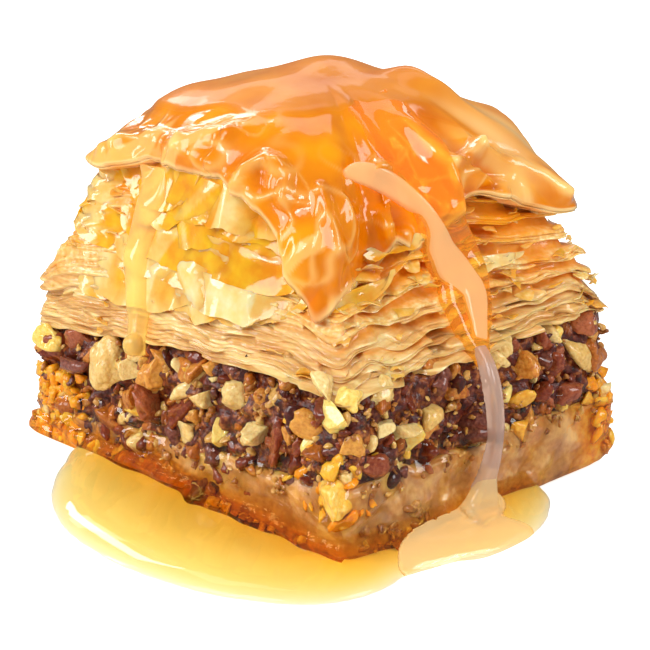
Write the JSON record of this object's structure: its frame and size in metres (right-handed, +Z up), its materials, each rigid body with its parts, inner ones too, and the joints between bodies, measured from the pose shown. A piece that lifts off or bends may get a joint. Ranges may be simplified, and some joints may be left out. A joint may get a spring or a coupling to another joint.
{
  "type": "baklava piece",
  "caption": "Rectangular piece of baklava: soaked pastry base, chopped nut filling and a tall puffed leaf top with a domed cap, standing in a flat pool of honey.",
  "frame": {"origin": "middle of the base's flat underside", "axes": "+X along the piece's longer side, +Y to the back, +Z up"},
  "size_m": [0.066, 0.0626, 0.0473],
  "materials": {
    "soaked_pastry": "syrup-soaked pastry leaves, translucent and moist, browned at the lower edge",
    "chopped_nuts": "coarsely chopped nuts with pale, tan and dark brown pieces, moist with honey",
    "crisp_pastry": "baked pastry leaves, glazed amber on top and pale at the cut edges",
    "honey": "clear golden honey, smooth and glossy"
  },
  "bodies": {
    "root": {"base_pastry": "soaked_pastry", "nut_filling": "chopped_nuts", "top_pastry": "crisp_pastry", "honey_pool": "honey"}
  },
  "joints": []
}
